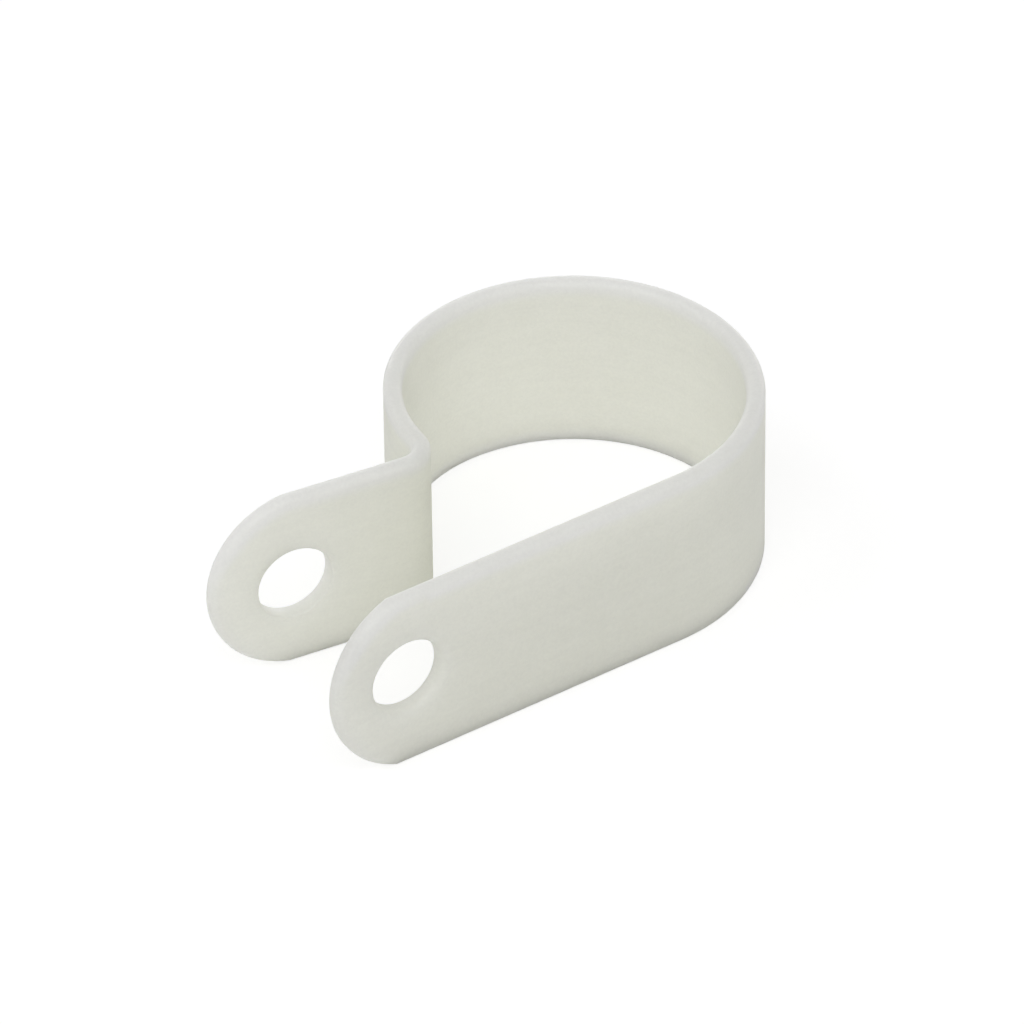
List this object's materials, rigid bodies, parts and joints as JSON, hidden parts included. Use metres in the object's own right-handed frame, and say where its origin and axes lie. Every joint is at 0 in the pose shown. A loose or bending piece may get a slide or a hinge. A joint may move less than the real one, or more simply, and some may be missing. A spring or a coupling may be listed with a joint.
{
  "type": "p clip",
  "caption": "Moulded natural nylon P clip: a flat strap bent into a cable loop, with a long leg and a short open tab whose rounded ends take one screw.",
  "frame": {"origin": "centre of the cable loop: on the axis of its main arc, halfway across the strap's width", "axes": "+Z along the loop's axis, across the strap; the long leg runs along -X; -Y is the outward normal of the leg's outer face, which lies on the panel"},
  "size_m": [0.0389, 0.0246, 0.0126],
  "materials": {
    "natural_nylon": "natural nylon 6/6, milky and slightly translucent, satin from a fine textured mould"
  },
  "bodies": {
    "root": {"clip": "natural_nylon"}
  },
  "joints": []
}
